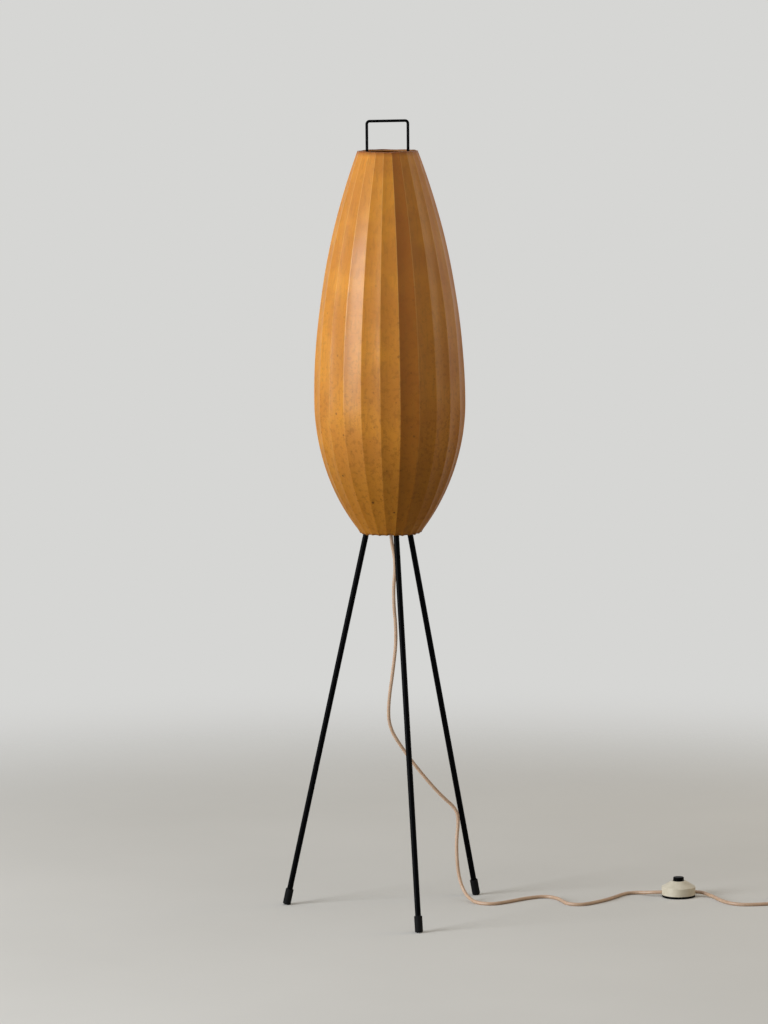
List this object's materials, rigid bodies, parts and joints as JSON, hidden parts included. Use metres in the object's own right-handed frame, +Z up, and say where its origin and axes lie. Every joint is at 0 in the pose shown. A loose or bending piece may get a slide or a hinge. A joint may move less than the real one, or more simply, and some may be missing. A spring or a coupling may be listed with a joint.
{
  "type": "floor lamp",
  "caption": "Floor lamp with a tall ribbed cocoon shade resting on a thin rod tripod, wire carrying handle, bulb, flex with foot switch and plug.",
  "frame": {"origin": "on the floor under the lamp's axis, midway between the three feet", "axes": "+Z up along the shade's axis, front leg towards -Y, handle's wire in the XZ plane"},
  "size_m": [0.9866, 0.3351, 1.3824],
  "materials": {
    "cocoon_resin": "satin sprayed amber resin, translucent, finely specked",
    "galvanised_wire": "drawn, dull",
    "black_lacquered_steel": "satin black lacquer",
    "black_rubber": "matt",
    "zinc_plated_steel": "plated",
    "brass": "turned",
    "black_bakelite": "moulded",
    "glazed_porcelain": "glazed",
    "clear_glass": "clear",
    "tungsten": "drawn",
    "peach_flex": "smooth sheath",
    "flex_core": "smooth insulation",
    "ivory_plastic": "moulded",
    "black_plastic": "moulded",
    "nickel": "plated"
  },
  "bodies": {
    "stand": {"leg_front": "black_lacquered_steel", "leg_left": "black_lacquered_steel", "leg_right": "black_lacquered_steel", "tripod_hub": "black_lacquered_steel", "carry_handle": "black_lacquered_steel", "foot_cap_front": "black_rubber", "foot_cap_left": "black_rubber", "foot_cap_right": "black_rubber", "coil_tie": "black_rubber", "leg_washers": "zinc_plated_steel", "leg_nuts": "zinc_plated_steel", "handle_nuts": "zinc_plated_steel", "grip_screw": "zinc_plated_steel", "holder_terminal_screws": "zinc_plated_steel", "switch_screws": "zinc_plated_steel", "switch_terminal_screws": "zinc_plated_steel", "switch_spring": "zinc_plated_steel", "plug_screw": "zinc_plated_steel", "nipple": "brass", "nipple_nuts": "brass", "holder_socket": "brass", "holder_contact": "brass", "switch_contacts": "brass", "cord_grip": "black_bakelite", "holder_cap": "black_bakelite", "holder_skirt": "black_bakelite", "holder_core": "glazed_porcelain", "cord_riser": "peach_flex", "cord_drop": "peach_flex", "cord_tail": "peach_flex", "cord_coil": "peach_flex", "cord_lead": "peach_flex", "holder_leads": "flex_core", "switch_cores": "flex_core", "switch_cover": "ivory_plastic", "switch_clamps": "ivory_plastic", "plug_upper_half": "ivory_plastic", "plug_lower_half": "ivory_plastic", "plug_relief": "ivory_plastic", "switch_base": "black_plastic", "plug_pins": "nickel"},
    "shade": {"shade_skin": "cocoon_resin", "rib_wires": "galvanised_wire", "top_ring": "galvanised_wire", "bottom_ring": "galvanised_wire"},
    "bulb": {"bulb_contact": "brass", "bulb_insulator": "black_bakelite", "bulb_cap": "brass", "bulb_glass": "clear_glass", "bulb_stem": "clear_glass", "bulb_filament": "tungsten"},
    "button": {"switch_button": "black_plastic", "switch_contact_ring": "brass"}
  },
  "joints": [
    {"name": "shade_lift", "type": "slide", "parent": "stand", "child": "shade", "axis": [0, 0, 1], "range_m": [0, 0.72]},
    {"name": "bulb_turn", "type": "hinge", "parent": "stand", "child": "bulb", "pos_m": [0, 0, 0.78], "axis": [0, 0, 1], "range_deg": [0, 1800]},
    {"name": "switch_press", "type": "slide", "parent": "stand", "child": "button", "axis": [0, 0, -1], "range_m": [0, 0.004], "stiffness_N_per_m": 1500, "springref_m": -0.002, "deforming": ["switch_spring"]}
  ]
}
